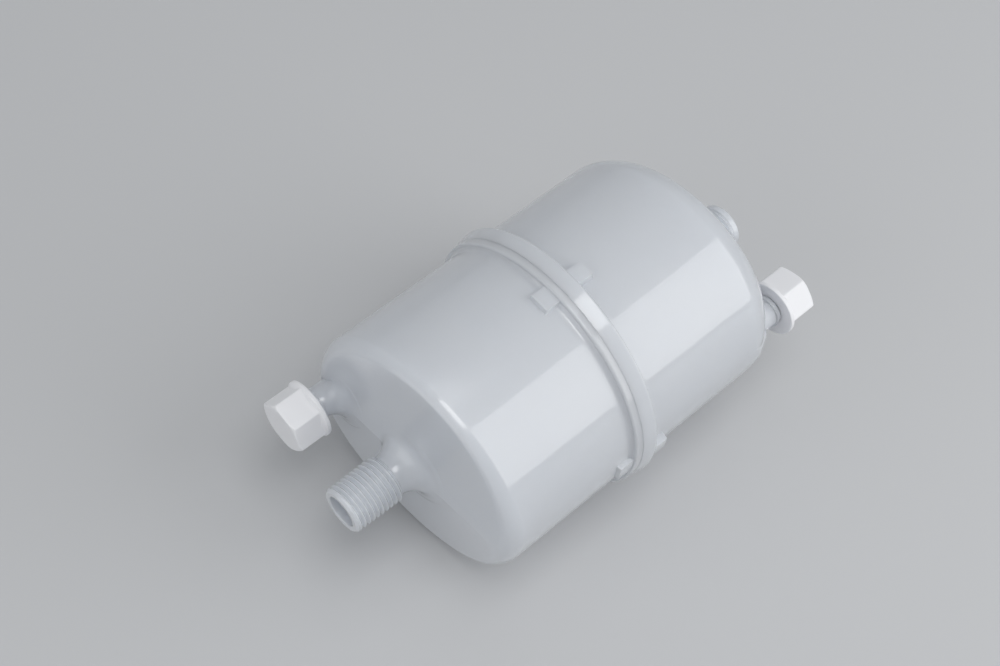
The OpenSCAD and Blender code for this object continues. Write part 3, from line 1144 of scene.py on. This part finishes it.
class Finishes:
    """All finishes of the filter, made once."""

    def __init__(self) -> None:
        """Makes the materials."""
        groups = NodeGroups()
        self.housing = PlasticFinish(
            "housing_polypropylene",
            pale=(0.85, 0.88, 0.935), deep=(0.82, 0.855, 0.915),
            roughness=(0.30, 0.36),
            transmission=0.3, subsurface=0.5, depth_mm=5.0,
            coat=0.95, coat_roughness=0.06,
        ).material(groups)
        self.cap = PlasticFinish(
            "cap_white_plastic",
            pale=(0.88, 0.88, 0.90), deep=(0.85, 0.85, 0.87),
            roughness=(0.40, 0.50),
            subsurface=0.3, depth_mm=0.8,
        ).material(groups)
        self.cartridge_frame = PlasticFinish(
            "cartridge_polypropylene",
            pale=(0.84, 0.85, 0.87), deep=(0.79, 0.80, 0.83),
            roughness=(0.38, 0.50),
            subsurface=0.3, depth_mm=1.2,
        ).material(groups)
        self.seal = PlasticFinish(
            "seal_rubber",
            pale=(0.035, 0.035, 0.038), deep=(0.02, 0.02, 0.022),
            roughness=(0.5, 0.65),
        ).material(groups)
        sheets = {
            "upstream_support": SheetFinish(
                "upstream_nonwoven", pale=(0.90, 0.89, 0.86), deep=(0.80, 0.79, 0.76), fibre_scale=900
            ),
            "membrane": SheetFinish(
                "membrane_sheet",
                pale=(0.92, 0.91, 0.88), deep=(0.88, 0.87, 0.84),
                fibre_scale=2200, roughness=0.7, bump=0.08,
            ),
            "downstream_support": SheetFinish(
                "downstream_nonwoven", pale=(0.89, 0.88, 0.85), deep=(0.79, 0.78, 0.75), fibre_scale=900
            ),
        }
        self.media = {node: sheet.material(groups) for node, sheet in sheets.items()}


class Cartridge:
    """The cartridge inside the housing and the vent seals, which keep their CAD shapes."""

    FRAME_NODES = ("outer_cage", "inner_core", "blind_end_cap", "open_end_cap")
    SEAL_NODES = ("inlet_vent_seal", "outlet_vent_seal")

    def __init__(self, nodes: dict[str, bpy.types.Object]) -> None:
        """Keeps the CAD nodes by name."""
        self.nodes = nodes

    def dress(self, finishes: Finishes) -> None:
        """Gives each node its finish.

        Args:
            finishes: The finishes of the filter.
        """
        given = {name: finishes.cartridge_frame for name in self.FRAME_NODES}
        given |= {name: finishes.seal for name in self.SEAL_NODES}
        given |= finishes.media
        for name, material in given.items():
            mesh = self.nodes[name].data
            mesh.materials.clear()
            mesh.materials.append(material)
            LOG.info("dressed %s", name)


@dataclass(frozen=True)
class Softbox:
    """Rectangular studio lamp, placed by its middle and the directions of its sides, in metres."""

    name: str
    centre: Triple
    width: float
    height: float
    radiance: float
    across: Triple = (1, 0, 0)
    up: Triple = (0, 1, 0)

    def build(self) -> None:
        """Makes the lamp."""
        lamp = bpy.data.lights.new(self.name, "AREA")
        lamp.shape = "RECTANGLE"
        lamp.size, lamp.size_y = self.width, self.height
        lamp.energy = self.radiance * math.pi * self.width * self.height
        piece = bpy.data.objects.new(self.name, lamp)
        up = Vector(self.up).normalized()
        across = Vector(self.across)
        across = (across - across.dot(up) * up).normalized()
        away = across.cross(up)
        turn = Matrix((across, up, away)).transposed().to_4x4()
        piece.matrix_world = Matrix.Translation(Vector(self.centre)) @ turn
        bpy.context.scene.collection.objects.link(piece)


class Studio:
    """Floor, lamps, background and camera."""

    FLOOR_SIZE = 6.0
    FLOOR_COLOR = (0.55, 0.555, 0.565, 1)
    FLOOR_ROUGHNESS = 0.8
    AIR_COLOR = (0.94, 0.97, 1.0, 1)
    AIR_STRENGTH = 0.4
    LENS = 56.76
    SENSOR_WIDTH = 36.0
    CLIP = (0.01, 50.0)
    CAMERA_AT = (-0.16735, -0.1196, 0.4040)
    CAMERA_RIGHT = (0.7433, -0.6628, 0.0914)
    CAMERA_DOWN = (-0.5453, -0.6793, -0.4913)
    LAMPS = (
        Softbox(
            "key_softbox",
            centre=(0.4533, -0.5891, 0.4377),
            across=(0.952, 0.255, -0.170), up=(0, 0.555, 0.832),
            width=0.58, height=0.84, radiance=1.9,
        ),
        Softbox("top_softbox", centre=(0.28, 0.14, 1.1), width=0.15, height=0.54, radiance=0.9),
        Softbox("overhead_softbox", centre=(-0.1, -0.25, 1.2), width=0.6, height=0.6, radiance=3.9),
        Softbox(
            "fill_softbox",
            centre=(-0.9, 0.15, 0.45),
            across=(0, -1, 0), up=(0.45, 0, 0.9),
            width=1.0, height=0.7, radiance=0.75,
        ),
    )

    def build(self) -> None:
        """Makes the whole studio."""
        bpy.context.scene.view_settings.view_transform = "Standard"
        self.build_floor()
        self.build_world()
        for lamp in self.LAMPS:
            lamp.build()
        self.build_camera()

    def build_floor(self) -> None:
        """Makes the plain pale floor."""
        half = self.FLOOR_SIZE / 2
        corners = [(-half, -half, 0), (half, -half, 0), (half, half, 0), (-half, half, 0)]
        mesh = bpy.data.meshes.new("floor")
        mesh.from_pydata(corners, [], [(0, 1, 2, 3)])
        floor = add_piece("floor", mesh)
        material = bpy.data.materials.new("floor_pale")
        material.use_nodes = True
        shader = material.node_tree.nodes["Principled BSDF"]
        shader.inputs["Base Color"].default_value = self.FLOOR_COLOR
        shader.inputs["Roughness"].default_value = self.FLOOR_ROUGHNESS
        mesh.materials.append(material)

    def build_world(self) -> None:
        """Makes the soft even light from all round."""
        world = bpy.data.worlds.new("studio_air")
        world.use_nodes = True
        back = world.node_tree.nodes["Background"]
        back.inputs["Color"].default_value = self.AIR_COLOR
        back.inputs["Strength"].default_value = self.AIR_STRENGTH
        bpy.context.scene.world = world

    def build_camera(self) -> None:
        """Makes the camera at the photograph's viewing angle."""
        right, down = Vector(self.CAMERA_RIGHT).normalized(), Vector(self.CAMERA_DOWN)
        up = -(down - down.dot(right) * right).normalized()
        data = bpy.data.cameras.new("camera")
        data.lens = self.LENS
        data.sensor_width = self.SENSOR_WIDTH
        data.clip_start, data.clip_end = self.CLIP
        camera = bpy.data.objects.new("camera", data)
        turn = Matrix((right, up, right.cross(up))).transposed().to_4x4()
        camera.matrix_world = Matrix.Translation(Vector(self.CAMERA_AT)) @ turn
        bpy.context.scene.collection.objects.link(camera)
        bpy.context.scene.camera = camera


def main() -> None:
    """Builds the filter's looks round the CAD frame."""
    logging.basicConfig(level=logging.INFO, format="%(name)s: %(message)s")
    finishes = Finishes()
    inlet_shell = HousingShell(
        "inlet_shell", Side.INLET,
        length=INLET_LENGTH, shoulder=7.0,
        ring_r=37.9, weld_r=38.06, ring_w=2.2,
        tab_r=37.3, tab_len=4.8, tab_w=6.0,
        neck_len=5.9, lead=0.5,
    )
    outlet_shell = HousingShell(
        "outlet_shell", Side.OUTLET,
        length=OUTLET_LENGTH, shoulder=10.0,
        ring_r=38.9, weld_r=38.1, ring_w=4.5,
        tab_r=38.2, tab_len=5.0,
        neck_len=3.4, lead=2.2,
    )
    inlet_cap = VentCap("inlet_vent_cap", "inlet_cap", Side.INLET, INLET_LENGTH, turn_deg=21)
    outlet_cap = VentCap("outlet_vent_cap", "outlet_cap", Side.OUTLET, OUTLET_LENGTH, turn_deg=13)
    made = [shell.build(finishes.housing) for shell in (inlet_shell, outlet_shell)]
    made += [cap.build(finishes.cap) for cap in (inlet_cap, outlet_cap)]
    for piece in made:
        LOG.info("built %s with %d faces", piece.name, len(piece.data.polygons))
    Cartridge(frame["nodes"]).dress(finishes)
    Studio().build()


if __name__ == "__main__":
    main()
